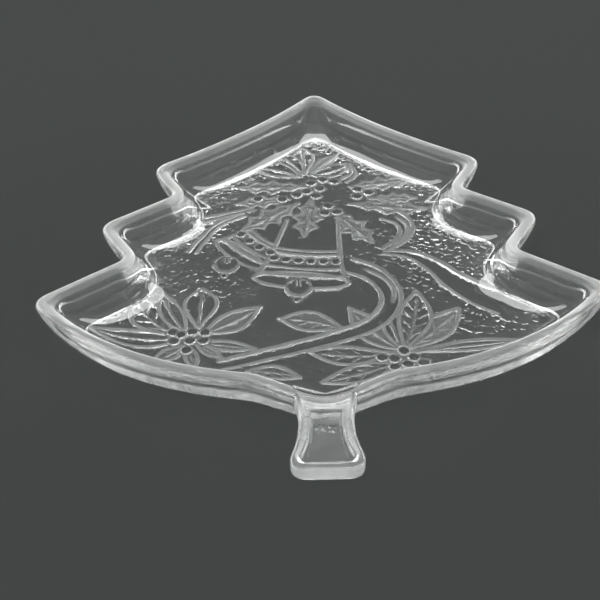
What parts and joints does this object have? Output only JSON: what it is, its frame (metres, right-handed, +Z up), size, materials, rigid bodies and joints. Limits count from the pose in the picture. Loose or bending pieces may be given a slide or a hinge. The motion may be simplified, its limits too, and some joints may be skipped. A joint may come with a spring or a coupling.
{
  "type": "serving dish",
  "caption": "Shallow clear pressed-glass serving dish in the outline of a tiered fir tree, with the trunk as a tab handle and a Christmas relief of bells, holly and flowers under its floor.",
  "frame": {"origin": "on the table under the middle of the dish's overall length, on its middle line", "axes": "+X across the tree to the right, +Y from the trunk handle to the top of the tree, +Z up out of the well"},
  "size_m": [0.208, 0.2241, 0.0175],
  "materials": {
    "clear_glass": "clear pressed glass, fire polished"
  },
  "bodies": {
    "root": {"dish_bowl": "clear_glass", "trunk_handle": "clear_glass", "holly_berries_middle": "clear_glass", "holly_berries_right": "clear_glass", "holly_berries_low": "clear_glass", "holly_leaf_left_upper": "clear_glass", "holly_leaf_left_middle": "clear_glass", "holly_leaf_left_lower": "clear_glass", "holly_leaf_centre": "clear_glass", "holly_leaf_right_lower": "clear_glass", "holly_leaf_right_middle": "clear_glass", "holly_leaf_right_upper": "clear_glass", "holly_leaf_top_right": "clear_glass", "poinsettia_top": "clear_glass", "bell_front": "clear_glass", "bell_back": "clear_glass", "ribbon_tail_left_upper": "clear_glass", "ribbon_tail_left_lower": "clear_glass", "ribbon_loop_right": "clear_glass", "ribbon_tail_right": "clear_glass", "ribbon_sweep": "clear_glass", "poinsettia_right": "clear_glass", "poinsettia_left": "clear_glass", "leaf_middle": "clear_glass"}
  },
  "joints": []
}
